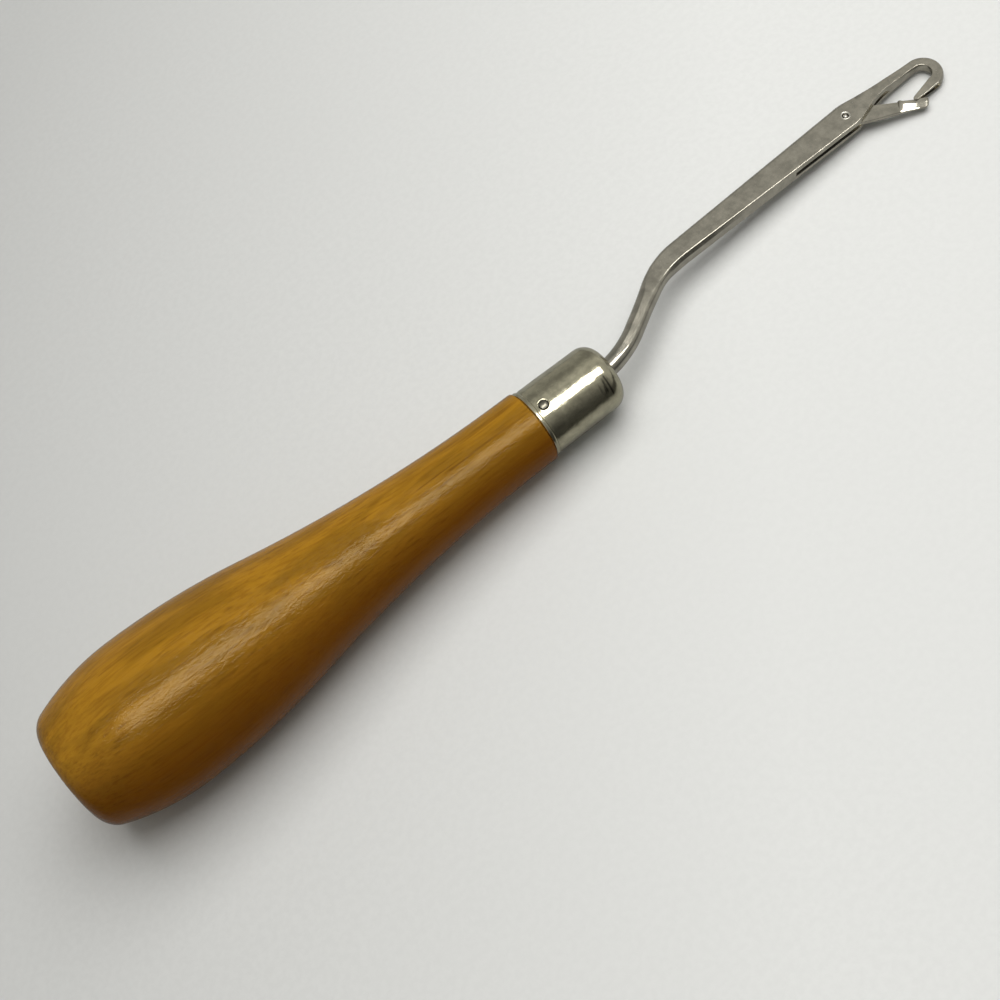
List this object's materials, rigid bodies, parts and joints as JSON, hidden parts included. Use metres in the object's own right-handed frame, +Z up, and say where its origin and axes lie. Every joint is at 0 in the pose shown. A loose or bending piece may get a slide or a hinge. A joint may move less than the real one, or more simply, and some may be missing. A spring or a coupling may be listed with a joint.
{
  "type": "latch hook",
  "caption": "Latch hook for rug making: turned wooden handle, metal ferrule, and a cranked flat shank whose hook is closed by a swinging latch with a cup shaped end",
  "frame": {"origin": "on the table, under the middle of the tool as it lies at rest", "axes": "+X runs along the tool to the hook's end, +Y to the side that the crank steps towards, +Z up from the table"},
  "size_m": [0.1714, 0.0247, 0.0248],
  "materials": {
    "wood": "amber varnish, glossy, fine dark flecks along the grain",
    "nickel": "nickel plate, slightly dulled",
    "steel": "nickel plated steel, worn and slightly mottled on the flats",
    "pin_steel": "plain bright steel"
  },
  "bodies": {
    "tool": {"handle": "wood", "ferrule": "nickel", "ferrule_pin": "pin_steel", "hook_shank": "steel", "latch_rivet": "pin_steel"},
    "latch_body": {"latch": "steel"}
  },
  "joints": [
    {"name": "latch_pivot", "type": "hinge", "parent": "tool", "child": "latch_body", "pos_m": [0.06821, 0.00975, 0.00274], "axis": [-0.0777, 0.1045, -0.9915], "range_deg": [0, 132]}
  ]
}
